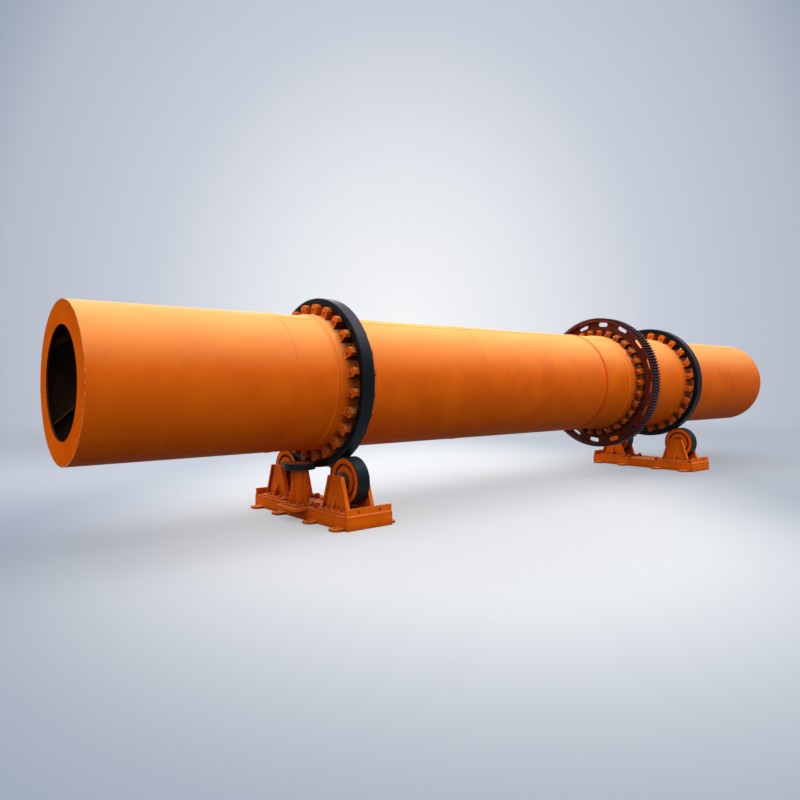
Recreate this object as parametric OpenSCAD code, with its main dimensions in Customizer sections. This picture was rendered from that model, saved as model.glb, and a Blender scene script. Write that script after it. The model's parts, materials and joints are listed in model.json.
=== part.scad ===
// Rotary drum dryer: a long shell that turns on two riding tyres, each tyre
// carried by two support rollers on a bolted-down station.
// X runs along the drum from inlet (-) to outlet (+), Z is up, and the origin
// is on the floor below the middle of the drum.

/* [Drum shell] */
// Outside diameter of the shell
shell_d = 1200; // [900:10:1600]
// Thickness of the shell plate
shell_wall = 12; // [8:1:20]
// Length of the shell from inlet edge to outlet edge
shell_len = 10200; // [8000:100:14000]

/* [Drum ends] */
// Diameter of the round mouth in each end plate
mouth_d = 840; // [500:10:860]
// Thickness of the end plates
end_plate_t = 14; // [8:1:25]

/* [Flights] */
// Number of helical feed flights behind the inlet
feed_count = 5; // [4:1:10]
// Length of the helical feed flights along the drum
feed_len = 900; // [500:50:1400]
// Angle that each feed flight turns through
feed_twist = 94; // [20:2:120]
// Number of straight rows of lifting flights
lifter_count = 12; // [6:1:14]
// Height of the flights above the shell wall
flight_h = 100; // [60:5:110]
// Width of the folded lip of a lifting flight
lifter_lip = 45; // [20:5:60]
// Thickness of the flight plates
flight_t = 8; // [6:1:12]
// Turn of the first feed flight from straight below the axis, at its inlet end, degrees
feed_turn = 50; // [0:1:70]
// Gap between an end plate and the flights
flight_end_gap = 26; // [10:2:120]
// Gap between the feed flights and the lifting flights
flight_gap = 200; // [40:10:400]

/* [Riding tyres] */
// Height of the pads between a wrapper plate and its tyre
pad_h = 89; // [60:1:120]
// Radial thickness of the riding tyres
tyre_t = 64; // [50:2:90]
// Width of the tyres and of the gap for them between the stop blocks
tyre_w = 116; // [100:2:200]
// Distance from the inlet edge to the middle of the front tyre
front_tyre_at = 2180; // [1600:10:2600]
// Distance from the outlet edge to the middle of the rear tyre
rear_tyre_at = 2340; // [1600:10:2800]
// Chamfer along the edges of the tyres and of the roller treads
tyre_edge = 5; // [2:1:10]
// Number of pads and of stop blocks on each side round a tyre
pad_count = 24; // [16:1:28]
// Width of a pad or stop block round the drum
pad_w = 80; // [50:5:90]
// Length of a stop block along the drum
stop_len = 55; // [30:5:80]
// Height of the sloping shoulders at the top of a stop block
stop_roof = 22; // [10:1:30]
// Bolt hole through each stop block
stop_hole_d = 26; // [12:1:30]
// Height of the bolt hole above the wrapper plate
stop_hole_up = 51; // [30:1:51]
// How far a stop block reaches up the side of its tyre
stop_lap = 8; // [4:1:12]
// Width of the wrapper plate that the pads stand on
wrapper_w = 390; // [330:10:500]
// Thickness of the wrapper plates on the shell
wrapper_t = 14; // [8:1:20]

/* [Girth gear] */
// Module of the teeth
gear_module = 12; // [8:1:16]
// Width of the toothed rim
gear_w = 150; // [110:5:200]
// Distance from the middle of the rear tyre to the middle of the gear
gear_at = 1250; // [900:10:1800]
// Height of the web between the brackets and the toothed rim, rounded up so
// that the teeth come out whole
web_h = 114; // [90:2:160]
// Thickness of the rim under the teeth
gear_rim_t = 20; // [16:1:40]
// Thickness of the gear's web
gear_web_t = 30; // [20:1:50]
// Number of oval lightening holes
gear_hole_count = 16; // [8:1:18]
// Length of a lightening hole round the web
gear_hole_len = 148; // [80:4:180]
// Height of a lightening hole across the web
gear_hole_h = 54; // [30:2:60]
// Web left between the rim and the lightening holes
gear_hole_edge = 10; // [6:1:30]
// Turn of the first lightening hole from the top of the gear
gear_hole_turn = 5; // [0:1:11]
// Number of brackets between the shell and the gear
bracket_count = 30; // [20:1:36]
// Height of the brackets above the gear's wrapper plate
bracket_h = 76; // [60:2:90]
// Width of a bracket round the drum
bracket_w = 70; // [40:5:80]
// Length of a bracket along the drum
bracket_len = 90; // [50:5:120]
// Width of the wrapper plate below the gear
gear_wrapper_w = 420; // [300:10:500]

/* [Support rollers] */
// Diameter of the support rollers
roller_d = 410; // [360:2:480]
// How far a roller reaches past its tyre on each side
roller_over = 5; // [2:1:20]
// Height of the rollers above the deck
roller_clear = 48; // [30:2:90]
// Angle of each roller from straight below the drum
roller_angle = 30; // [28:1:34]
// Radial thickness of the dark tread
tread_t = 12; // [8:1:30]
// Middle diameter of the ring groove in each side of a roller
groove_d = 276; // [220:2:300]
// Width of the ring groove
groove_w = 26; // [10:2:40]
// Depth of the ring groove
groove_depth = 24; // [10:2:40]
// Diameter of the roller shafts
shaft_d = 80; // [60:2:96]
// Diameter of the collars on the shaft beside the roller
collar_d = 150; // [120:5:180]
// Mean length of the two collars along the shaft
collar_len = 31; // [28:1:60]
// Space between a collar and the bearing boss beside it
collar_gap = 5; // [5:1:10]

/* [Roller stands] */
// Thickness of the stand plates and ribs
stand_t = 16; // [10:1:25]
// Width of a stand at its top
stand_top_w = 190; // [160:5:240]
// Width of a stand at its foot
stand_foot_w = 384; // [300:4:420]
// Height of the stand above the roller axis
stand_over = 52; // [50:1:90]
// Depth of the flanges along the sloping edges of a stand
stand_flange = 22; // [10:2:60]
// How far the middle gusset of a stand reaches out over the deck
gusset_out = 60; // [50:2:90]
// Height of the middle gusset
gusset_h = 125; // [80:5:220]
// Length of the bearing boss on the inner side of a stand
boss_len = 8; // [6:1:36]
// Wall of the bearing boss round the shaft
boss_wall = 20; // [12:2:30]
// Depth that a shaft end sits in its stand plate
shaft_in = 8; // [4:1:10]
// Distance that each pair of stands sits nearer the inlet than its roller
stand_shift = 22; // [0:1:25]

/* [Base frames] */
// How far the deck reaches past the outer stands, across the drum
deck_side = 84; // [60:2:140]
// How far the deck reaches past the gussets, along the drum
deck_end = 30; // [10:2:60]
// Height of the channels of a base frame
beam_h = 98; // [80:2:140]
// Flange width of the channels
beam_flange = 50; // [40:2:70]
// Thickness of the channel webs and flanges
beam_t = 10; // [6:1:14]
// Thickness of the deck plate on the channels
deck_t = 16; // [10:1:25]
// Height of the upright rail at each end of a base frame
rail_h = 62; // [30:2:80]
// Thickness of the upright end rails
rail_t = 20; // [10:1:24]
// Distance of the end rails from the ends of the deck
rail_inset = 12; // [0:1:30]
// Bolt holes in the end rails
rail_hole_d = 22; // [14:1:26]
// Distance between the two bolt holes of an end rail
rail_hole_pitch = 224; // [120:4:300]

/* [Anchor lugs] */
// Width of an anchor lug
lug_w = 124; // [104:4:180]
// How far an anchor lug stands out from the base frame
lug_out = 90; // [70:2:110]
// Thickness of the anchor lugs
lug_t = 18; // [12:1:25]
// Radius of the outer corners of a lug
lug_corner = 44; // [20:2:52]
// Anchor bolt holes
anchor_hole_d = 28; // [20:1:36]
// Distance of an anchor hole from the outer edge of its lug
anchor_hole_inset = 38; // [30:1:50]
// Distance from the drum's centre plane to the inner lugs
inner_lug_y = 264; // [200:4:320]
// Distance from the ends of the base frame to the outer lugs
outer_lug_inset = 106; // [80:2:140]

/* [Thrust rollers] */
// Diameter of the thrust rollers
thrust_d = 288; // [240:4:320]
// Thickness of the thrust rollers
thrust_t = 54; // [40:2:60]
// Radial thickness of the dark rim of a thrust roller
thrust_rim_t = 26; // [16:1:40]
// Clearance between a thrust roller and the stop blocks that pass above it
thrust_clear = 8; // [5:1:20]
// Free space between a thrust roller and its tyre
thrust_gap = 5; // [2:1:8]
// Diameter of the thrust roller pins
thrust_pin_d = 60; // [40:2:80]
// Width of the shelf plate below a thrust roller
shelf_w = 330; // [280:5:420]
// How far a shelf reaches past the foot plate that stands on it
shelf_end = 44; // [20:2:80]
// Thickness of the shelf plates
shelf_t = 26; // [16:1:30]
// Width of the foot plate below a thrust roller's column
thrust_foot_w = 230; // [200:5:260]
// Diameter of the column that carries a thrust roller
column_d = 124; // [80:2:150]
// Overhang of the round plate on top of the column
column_head_edge = 18; // [10:1:30]
// Thickness of the round plate on top of the column
column_head_t = 14; // [10:1:20]
// Space between that plate and the roller above it
column_gap = 5; // [3:1:8]
// Thickness of the hub over the end of its pin
hub_cover_t = 14; // [8:1:18]

/* [Fits] */
// Gap between fixed pieces that are seated or welded
seat = 0.3; // [0.2:0.05:0.5]
// Radial running clearance of shafts and pins
running = 0.06; // [0.03:0.01:0.1]
// Gap between a tyre and its rollers
rolling = 0.3; // [0.2:0.05:0.5]

/* [Hidden] */
$fn = 96;

orange = "darkorange";
black_steel = "dimgray";
primer = "maroon";
bright_steel = "silver";
eps = 0.01;

// Radii worked out from the driving sizes
shell_r = shell_d / 2;
bore_r = shell_r - shell_wall;
wrapper_in = shell_r + seat;
wrapper_r = wrapper_in + wrapper_t;
tyre_in = wrapper_r + pad_h + 2 * seat;
tyre_r = tyre_in + tyre_t;
pad_turn = 180 / pad_count;
bracket_r = wrapper_r + seat + bracket_h;
gear_teeth = 2 * ceil((bracket_r + web_h + gear_rim_t) / gear_module + 1.25);
pitch_r = gear_module * gear_teeth / 2;
gear_r = pitch_r + gear_module;
root_r = pitch_r - 1.25 * gear_module;
rim_in = root_r - gear_rim_t;
web_in = bracket_r - bracket_h / 2;
web_hole_r = rim_in - gear_hole_edge - gear_hole_h / 2;

// Stations along the drum
front_x = front_tyre_at - shell_len / 2;
rear_x = shell_len / 2 - rear_tyre_at;
gear_x = rear_x - gear_at;

// Rollers below a tyre, and the height of the drum's axis above the floor
roller_r = roller_d / 2;
roller_w = tyre_w + 2 * roller_over;
wheel_r = roller_r - tread_t;
roller_reach = tyre_r + rolling + roller_r;
deck_z = beam_h + seat + deck_t;
roller_y = roller_reach * sin(roller_angle);
roller_z = deck_z + roller_clear + roller_r;
axis_h = roller_z + roller_reach * cos(roller_angle);
stand_foot_z = deck_z + seat;
stand_top_z = roller_z + stand_over;
stand_inner_x = roller_w / 2 + seat + collar_len + collar_gap + boss_len;
stand_outer_x = stand_inner_x + stand_t;
foot_edge = 12;
base_w = 2 * (roller_y + stand_foot_w / 2 + foot_edge + deck_side);
base_len = 2 * (stand_outer_x + stand_shift + gusset_out + deck_end);
outer_lug_y = base_w / 2 - outer_lug_inset;
lug_corner_r = min(lug_corner, lug_out / 2 - 1);

// Thrust rollers beside the front tyre
thrust_r = thrust_d / 2;
thrust_x = tyre_w / 2 + thrust_gap + thrust_r;
thrust_top_z = axis_h - tyre_in - stop_lap - thrust_clear;
thrust_low_z = thrust_top_z - thrust_t;
shelf_out = thrust_x + thrust_foot_w / 2 + shelf_end - base_len / 2;
thrust_foot_z = deck_z + seat + stand_t;
thrust_hub_r = thrust_r - thrust_rim_t;
thrust_hub_dip = 4;
thrust_pin_top = thrust_top_z - thrust_hub_dip - hub_cover_t;

// --- shared shapes -------------------------------------------------------

// Lays a shape that was made along Z round the drum's axis, from x on
module along_drum(x) {
    translate([x, 0, axis_h])
        rotate([0, 90, 0])
            children();
}

// A ring round the drum's axis, centred at x
module drum_ring(x, outer_r, inner_r, width) {
    along_drum(x - width / 2)
        difference() {
            cylinder(r = outer_r, h = width);
            translate([0, 0, -1])
                cylinder(r = inner_r, h = width + 2);
        }
}

// A ring that stands on the XY plane, its outer edges chamfered
module chamfered_ring(outer_r, inner_r, width, edge) {
    rotate_extrude()
        polygon([
            [inner_r, 0], [outer_r - edge, 0], [outer_r, edge],
            [outer_r, width - edge], [outer_r - edge, width], [inner_r, width]
        ]);
}

// Places children at count even steps round the drum's axis, the first of them
// turned by first from the top
module round_drum(count, first = 0) {
    for (i = [0 : count - 1])
        translate([0, 0, axis_h])
            rotate([first + i * 360 / count, 0, 0])
                children();
}

// Mirrored copies on both sides of a station, across X
module both_sides_x() {
    for (side = [0, 1])
        mirror([side, 0, 0])
            children();
}

// A rod along X
module rod_x(x, y, z, r, len) {
    translate([x, y, z])
        rotate([0, 90, 0])
            cylinder(r = r, h = len);
}

// --- drum ------------------------------------------------------------------

module drum_shell() {
    color(orange)
        drum_ring(0, shell_r, bore_r, shell_len);
}

// Annular plate inside one end of the shell, which leaves a round mouth open
module end_plate(side) {
    plate_x = side * (shell_len / 2 - end_plate_t / 2);
    color(orange)
        drum_ring(plate_x, bore_r - seat, mouth_d / 2, end_plate_t);
}

module inlet_end_plate() {
    end_plate(-1);
}

module outlet_end_plate() {
    end_plate(1);
}

// Helical plates that carry the feed away from the inlet
module feed_flights() {
    start_x = -shell_len / 2 + end_plate_t + flight_end_gap;
    edge = sqrt(pow(bore_r - seat, 2) - pow(flight_t / 2, 2));
    color(orange)
        for (i = [0 : feed_count - 1])
            along_drum(start_x)
                rotate([0, 0, feed_turn + i * 360 / feed_count])
                    linear_extrude(height = feed_len, twist = -feed_twist, slices = 20, $fn = 4)
                        translate([bore_r - flight_h, -flight_t / 2])
                            square([flight_h - (bore_r - edge), flight_t]);
}

// Straight rows of L-shaped plates that lift and shower the material
module lifting_flights() {
    start_x = -shell_len / 2 + end_plate_t + flight_end_gap + feed_len + flight_gap;
    end_x = shell_len / 2 - end_plate_t - flight_end_gap;
    tip = bore_r - flight_h;
    color(orange)
        for (i = [0 : lifter_count - 1])
            along_drum(start_x)
                rotate([0, 0, i * 360 / lifter_count])
                    linear_extrude(height = end_x - start_x)
                        intersection() {
                            circle(r = bore_r - seat);
                            polygon([
                                [tip, -flight_t / 2], [bore_r, -flight_t / 2],
                                [bore_r, flight_t / 2], [tip + flight_t, flight_t / 2],
                                [tip + flight_t, lifter_lip], [tip, lifter_lip]
                            ]);
                        }
}

// --- riding tyres ------------------------------------------------------------

module tyre(x) {
    color(black_steel)
        along_drum(x - tyre_w / 2)
            chamfered_ring(tyre_r, tyre_in, tyre_w, tyre_edge);
}

module tyre_wrapper(x) {
    color(orange)
        drum_ring(x, wrapper_r, wrapper_in, wrapper_w);
}

// Packing bars between the wrapper plate and the tyre
module tyre_pads(x) {
    color(orange)
        intersection() {
            drum_ring(x, tyre_in - seat, wrapper_r + seat, tyre_w);
            round_drum(pad_count, pad_turn)
                translate([x - tyre_w / 2, -pad_w / 2, 0])
                    cube([tyre_w, pad_w, tyre_r]);
        }
}

// Roof-topped blocks that keep the tyre from walking along the drum
module stop_blocks(x) {
    top = tyre_in + stop_lap;
    shoulder = top - stop_roof;
    color(orange)
        translate([x, 0, 0])
            both_sides_x()
                difference() {
                    intersection() {
                        round_drum(pad_count, pad_turn)
                            translate([tyre_w / 2 + seat, 0, 0])
                                rotate([90, 0, 90])
                                    linear_extrude(height = stop_len)
                                        polygon([
                                            [-pad_w / 2, 0], [pad_w / 2, 0],
                                            [pad_w / 2, shoulder], [pad_w / 4, top],
                                            [-pad_w / 4, top], [-pad_w / 2, shoulder]
                                        ]);
                        drum_ring(tyre_w / 2 + stop_len / 2, tyre_r, wrapper_r + seat, stop_len + 2);
                    }
                    round_drum(pad_count, pad_turn)
                        rod_x(tyre_w / 2 - 1, 0, wrapper_r + stop_hole_up, stop_hole_d / 2, stop_len + 3);
                }
}

module front_tyre() {
    tyre(front_x);
}

module front_tyre_wrapper() {
    tyre_wrapper(front_x);
}

module front_tyre_pads() {
    tyre_pads(front_x);
}

module front_stop_blocks() {
    stop_blocks(front_x);
}

module rear_tyre() {
    tyre(rear_x);
}

module rear_tyre_wrapper() {
    tyre_wrapper(rear_x);
}

module rear_tyre_pads() {
    tyre_pads(rear_x);
}

module rear_stop_blocks() {
    stop_blocks(rear_x);
}

// --- girth gear --------------------------------------------------------------

// Outline of the teeth: two root points and two tip points for each. Their half
// widths at foot and tip are parts of the step from tooth to tooth
function polar(r, a) = [r * cos(a), r * sin(a)];
gear_step = 360 / gear_teeth;
tooth_foot = 0.34;
tooth_tip = 0.16;
tooth = [[root_r, -tooth_foot], [gear_r, -tooth_tip], [gear_r, tooth_tip], [root_r, tooth_foot]];
gear_outline = [
    for (i = [0 : gear_teeth - 1], p = tooth)
        polar(p[0], (i + p[1]) * gear_step)
];

module lightening_hole() {
    reach = gear_hole_len / 2 - gear_hole_h / 2;
    for (side = [-1, 1])
        translate([0, side * reach])
            circle(r = gear_hole_h / 2);
    translate([-gear_hole_h / 2, -reach])
        square([gear_hole_h, 2 * reach]);
}

module girth_gear() {
    color(primer)
        along_drum(gear_x - gear_w / 2)
            union() {
                linear_extrude(height = gear_w)
                    difference() {
                        polygon(gear_outline);
                        circle(r = rim_in);
                    }
                translate([0, 0, gear_w / 2 - gear_web_t / 2])
                    linear_extrude(height = gear_web_t)
                        difference() {
                            circle(r = (rim_in + root_r) / 2);
                            circle(r = web_in);
                            for (i = [0 : gear_hole_count - 1])
                                rotate([0, 0, 180 + gear_hole_turn + i * 360 / gear_hole_count])
                                    translate([web_hole_r, 0])
                                        lightening_hole();
                        }
            }
}

module gear_wrapper() {
    color(orange)
        drum_ring(gear_x, wrapper_r, wrapper_in, gear_wrapper_w);
}

// Blocks on the wrapper plate that the web is bolted to, on its inlet side
module gear_brackets() {
    face_x = gear_x - gear_web_t / 2 - seat;
    color(orange)
        intersection() {
            drum_ring(face_x - bracket_len / 2, bracket_r, wrapper_r + seat, bracket_len);
            round_drum(bracket_count, 180 / bracket_count)
                translate([face_x - bracket_len, -bracket_w / 2, 0])
                    cube([bracket_len, bracket_w, gear_r]);
        }
}

// --- support rollers -----------------------------------------------------------

// side: 1 is the left roller (+Y), -1 the right one (-Y)
module roller_tread(x, side) {
    color(black_steel)
        translate([x - roller_w / 2, side * roller_y, roller_z])
            rotate([0, 90, 0])
                chamfered_ring(roller_r, wheel_r + seat, roller_w, tyre_edge);
}

// Wheel with a ring groove in each side and a bore for its shaft
module roller_wheel(x, side) {
    groove_out = groove_d / 2 + groove_w / 2;
    groove_in = groove_d / 2 - groove_w / 2;
    half = roller_w / 2;
    color(orange)
        translate([x, side * roller_y, roller_z])
            rotate([0, 90, 0])
                rotate_extrude()
                    polygon([
                        [shaft_d / 2 + running, -half], [groove_in, -half],
                        [groove_in, -half + groove_depth], [groove_out, -half + groove_depth],
                        [groove_out, -half], [wheel_r, -half],
                        [wheel_r, half], [groove_out, half],
                        [groove_out, half - groove_depth], [groove_in, half - groove_depth],
                        [groove_in, half], [shaft_d / 2 + running, half]
                    ]);
}

// Shaft with a collar on each side of the wheel, its ends in the stands
module roller_shaft(x, side) {
    reach = stand_inner_x + shaft_in;
    near_wheel = roller_w / 2 + seat;
    near_boss = near_wheel + collar_len;
    color(bright_steel)
        translate([x, side * roller_y, roller_z])
            rotate([0, 90, 0])
                rotate_extrude()
                    polygon([
                        [0, -reach - stand_shift], [shaft_d / 2, -reach - stand_shift],
                        [shaft_d / 2, -near_boss - stand_shift], [collar_d / 2, -near_boss - stand_shift],
                        [collar_d / 2, -near_wheel], [shaft_d / 2, -near_wheel],
                        [shaft_d / 2, near_wheel], [collar_d / 2, near_wheel],
                        [collar_d / 2, near_boss - stand_shift], [shaft_d / 2, near_boss - stand_shift],
                        [shaft_d / 2, reach - stand_shift], [0, reach - stand_shift]
                    ]);
}

module front_left_roller_tread() {
    roller_tread(front_x, 1);
}

module front_left_roller_wheel() {
    roller_wheel(front_x, 1);
}

module front_left_roller_shaft() {
    roller_shaft(front_x, 1);
}

module front_right_roller_tread() {
    roller_tread(front_x, -1);
}

module front_right_roller_wheel() {
    roller_wheel(front_x, -1);
}

module front_right_roller_shaft() {
    roller_shaft(front_x, -1);
}

module rear_left_roller_tread() {
    roller_tread(rear_x, 1);
}

module rear_left_roller_wheel() {
    roller_wheel(rear_x, 1);
}

module rear_left_roller_shaft() {
    roller_shaft(rear_x, 1);
}

module rear_right_roller_tread() {
    roller_tread(rear_x, -1);
}

module rear_right_roller_wheel() {
    roller_wheel(rear_x, -1);
}

module rear_right_roller_shaft() {
    roller_shaft(rear_x, -1);
}

// --- roller stands ----------------------------------------------------------------

// Plate along Y and Z with sloping sides, from x on
module stand_plate(x, thick, top_w, foot_w, foot_z, top_z) {
    translate([x, 0, 0])
        rotate([90, 0, 90])
            linear_extrude(height = thick)
                polygon([
                    [-foot_w / 2, foot_z], [foot_w / 2, foot_z],
                    [top_w / 2, top_z], [-top_w / 2, top_z]
                ]);
}

// One stand: a plate with a bearing boss on its inner side, a flange along each
// sloping edge, a middle gusset and a foot plate
module stand() {
    foot_top = stand_foot_z + stand_t;
    lean = atan((stand_foot_w - stand_top_w) / 2 / (stand_top_z - foot_top));
    flange_w = 2 * stand_t / cos(lean);
    foot_w = stand_foot_w + 2 * foot_edge;
    foot_len = stand_t + gusset_out + 1.5 * foot_edge;
    difference() {
        union() {
            stand_plate(stand_inner_x, stand_t, stand_top_w, stand_foot_w, foot_top - eps, stand_top_z);
            // edge flanges: the same outline in a deeper plate, with its middle cut away
            difference() {
                stand_plate(
                    stand_outer_x - eps, stand_flange, stand_top_w, stand_foot_w, foot_top - eps, stand_top_z
                );
                stand_plate(
                    stand_outer_x - 1, stand_flange + 2, stand_top_w - flange_w, stand_foot_w - flange_w,
                    foot_top - 2, stand_top_z + 2
                );
            }
            // triangular gusset
            translate([stand_outer_x - eps, stand_t / 2, foot_top - eps])
                rotate([90, 0, 0])
                    linear_extrude(height = stand_t)
                        polygon([[0, 0], [gusset_out, 0], [0, gusset_h]]);
            // foot plate
            translate([stand_inner_x - foot_edge, -foot_w / 2, stand_foot_z])
                cube([foot_len, foot_w, stand_t]);
            // bearing boss
            rod_x(stand_inner_x - boss_len, 0, roller_z, shaft_d / 2 + boss_wall, boss_len + eps);
        }
        rod_x(0, 0, roller_z, shaft_d / 2 + running, stand_inner_x + shaft_in + seat);
    }
}

module stands(x, side) {
    color(orange)
        translate([x - stand_shift, side * roller_y, 0])
            both_sides_x()
                stand();
}

module front_left_stands() {
    stands(front_x, 1);
}

module front_right_stands() {
    stands(front_x, -1);
}

module rear_left_stands() {
    stands(rear_x, 1);
}

module rear_right_stands() {
    stands(rear_x, -1);
}

// --- base frames -----------------------------------------------------------------

// Channel along X or Y, its web at the origin and its flanges towards +cross
module channel_y(len) {
    difference() {
        cube([beam_flange, len, beam_h]);
        translate([beam_t, -1, beam_t])
            cube([beam_flange, len + 2, beam_h - 2 * beam_t]);
    }
}

// Two long channels, two end channels and cross channels below the stands
module base_frame(x) {
    half_len = base_len / 2;
    half_w = base_w / 2;
    cross_len = base_len - 2 * beam_t;
    color(orange)
        translate([x, 0, 0])
            union() {
                for (side = [0, 1])
                    mirror([side, 0, 0])
                        translate([-half_len, -half_w, 0])
                            channel_y(base_w);
                for (side = [0, 1])
                    mirror([0, side, 0])
                        translate([-half_len + beam_t - eps, -half_w, 0])
                            cube([cross_len + 2 * eps, beam_t, beam_h]);
                for (y = [-outer_lug_y + beam_flange, -inner_lug_y, inner_lug_y, outer_lug_y - beam_flange])
                    translate([-half_len + beam_t - eps, y - beam_t / 2, 0])
                        cube([cross_len + 2 * eps, beam_t, beam_h]);
            }
}

// Deck plate on top of the channels
module deck(x) {
    color(orange)
        translate([x - base_len / 2, -base_w / 2, beam_h + seat])
            cube([base_len, base_w, deck_t]);
}

// Upright rail with two bolt holes along each end of the deck
module end_rails(x) {
    color(orange)
        for (side = [-1, 1])
            translate([x, side * (base_w / 2 - rail_inset - rail_t / 2), deck_z + seat])
                difference() {
                    translate([-base_len / 2, -rail_t / 2, 0])
                        cube([base_len, rail_t, rail_h]);
                    for (hole_side = [-1, 1])
                        translate([hole_side * rail_hole_pitch / 2, -rail_t, rail_h / 2])
                            rotate([-90, 0, 0])
                                cylinder(r = rail_hole_d / 2, h = 2 * rail_t);
                }
}

// Lugs with rounded corners on the floor, four along each long side
module anchor_lugs(x) {
    corner_x = lug_out - lug_corner_r;
    corner_y = lug_w / 2 - lug_corner_r;
    color(orange)
        translate([x, 0, 0])
            both_sides_x()
                for (y = [-outer_lug_y, -inner_lug_y, inner_lug_y, outer_lug_y])
                    translate([base_len / 2 + seat, y, 0])
                        difference() {
                            union() {
                                translate([0, -lug_w / 2, 0])
                                    cube([corner_x, lug_w, lug_t]);
                                for (side = [-1, 1])
                                    translate([corner_x, side * corner_y, 0])
                                        cylinder(r = lug_corner_r, h = lug_t);
                                translate([corner_x - eps, -corner_y, 0])
                                    cube([lug_corner_r + eps, 2 * corner_y, lug_t]);
                            }
                            translate([lug_out - anchor_hole_inset, 0, -1])
                                cylinder(r = anchor_hole_d / 2, h = lug_t + 2);
                        }
}

module front_base_frame() {
    base_frame(front_x);
}

module front_deck() {
    deck(front_x);
}

module front_anchor_lugs() {
    anchor_lugs(front_x);
}

module rear_base_frame() {
    base_frame(rear_x);
}

module rear_deck() {
    deck(rear_x);
}

module rear_anchor_lugs() {
    anchor_lugs(rear_x);
}

module front_end_rails() {
    end_rails(front_x);
}

module rear_end_rails() {
    end_rails(rear_x);
}

// --- thrust rollers -----------------------------------------------------------------

// Ribbed column on a foot plate, with the pin that the roller turns on. Part of
// the foot plate stands on the shelf plate, which meets the side of the frame
module thrust_stand() {
    column_top = thrust_low_z - column_gap;
    column_h = column_top - thrust_foot_z;
    column_r = column_d / 2;
    union() {
        translate([base_len / 2 + seat, -shelf_w / 2, deck_z - shelf_t])
            cube([shelf_out, shelf_w, shelf_t + seat + eps]);
        translate([thrust_x - thrust_foot_w / 2, -thrust_foot_w / 2, deck_z + seat])
            cube([thrust_foot_w, thrust_foot_w, stand_t]);
        translate([thrust_x, 0, thrust_foot_z - eps])
            cylinder(r = column_r, h = column_h + eps);
        for (a = [0, 90, 180, 270])
            translate([thrust_x, 0, thrust_foot_z - eps])
                rotate([90, 0, a])
                    translate([0, 0, -stand_t / 2])
                        linear_extrude(height = stand_t)
                            polygon([
                                [0, 0], [thrust_foot_w / 2 - foot_edge, 0],
                                [column_r + foot_edge, column_h], [0, column_h]
                            ]);
        translate([thrust_x, 0, column_top - column_head_t])
            cylinder(r = column_r + column_head_edge, h = column_head_t);
        translate([thrust_x, 0, thrust_foot_z])
            cylinder(r = thrust_pin_d / 2, h = thrust_pin_top - thrust_foot_z);
    }
}

module front_thrust_stands() {
    color(orange)
        translate([front_x, 0, 0])
            both_sides_x()
                thrust_stand();
}

// Rim that meets the side of the tyre
module thrust_rim(side) {
    color(black_steel)
        translate([front_x + side * thrust_x, 0, thrust_low_z])
            chamfered_ring(thrust_r, thrust_hub_r + seat, thrust_t, tyre_edge);
}

// Hub inside the rim, with a blind bore that sits over the pin
module thrust_hub(side) {
    color(orange)
        translate([front_x + side * thrust_x, 0, thrust_low_z])
            difference() {
                cylinder(r = thrust_hub_r, h = thrust_t - thrust_hub_dip);
                translate([0, 0, -1])
                    cylinder(r = thrust_pin_d / 2 + running, h = thrust_pin_top - thrust_low_z + 1 + seat);
            }
}

module inlet_thrust_rim() {
    thrust_rim(-1);
}

module inlet_thrust_hub() {
    thrust_hub(-1);
}

module outlet_thrust_rim() {
    thrust_rim(1);
}

module outlet_thrust_hub() {
    thrust_hub(1);
}

// --- nodes ---------------------------------------------------------------------------

drum_shell();
inlet_end_plate();
outlet_end_plate();
feed_flights();
lifting_flights();
front_tyre();
front_tyre_wrapper();
front_tyre_pads();
front_stop_blocks();
rear_tyre();
rear_tyre_wrapper();
rear_tyre_pads();
rear_stop_blocks();
girth_gear();
gear_wrapper();
gear_brackets();
front_base_frame();
front_deck();
front_end_rails();
front_anchor_lugs();
front_left_stands();
front_right_stands();
front_thrust_stands();
front_left_roller_tread();
front_left_roller_wheel();
front_left_roller_shaft();
front_right_roller_tread();
front_right_roller_wheel();
front_right_roller_shaft();
inlet_thrust_rim();
inlet_thrust_hub();
outlet_thrust_rim();
outlet_thrust_hub();
rear_base_frame();
rear_deck();
rear_end_rails();
rear_anchor_lugs();
rear_left_stands();
rear_right_stands();
rear_left_roller_tread();
rear_left_roller_wheel();
rear_left_roller_shaft();
rear_right_roller_tread();
rear_right_roller_wheel();
rear_right_roller_shaft();
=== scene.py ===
import json
import math

import bmesh
import bpy
from mathutils import Matrix, Vector


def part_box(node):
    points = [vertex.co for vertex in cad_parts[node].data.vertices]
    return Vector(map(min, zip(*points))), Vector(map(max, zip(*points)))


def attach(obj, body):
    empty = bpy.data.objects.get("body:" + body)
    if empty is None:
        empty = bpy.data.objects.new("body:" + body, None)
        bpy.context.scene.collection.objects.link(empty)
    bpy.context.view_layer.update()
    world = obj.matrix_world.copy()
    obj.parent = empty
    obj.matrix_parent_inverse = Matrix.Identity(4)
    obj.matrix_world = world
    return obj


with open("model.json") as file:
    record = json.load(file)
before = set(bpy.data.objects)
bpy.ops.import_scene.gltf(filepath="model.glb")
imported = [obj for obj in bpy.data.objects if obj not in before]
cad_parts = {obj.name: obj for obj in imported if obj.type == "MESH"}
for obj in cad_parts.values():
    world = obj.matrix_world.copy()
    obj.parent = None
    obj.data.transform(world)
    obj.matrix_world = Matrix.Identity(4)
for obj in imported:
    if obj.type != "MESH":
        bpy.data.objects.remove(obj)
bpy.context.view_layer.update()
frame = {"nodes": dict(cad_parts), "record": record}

# ------ sizes ------
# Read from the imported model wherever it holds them. Everything is in metres,
# X along the drum from inlet to outlet, Z up.

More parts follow.
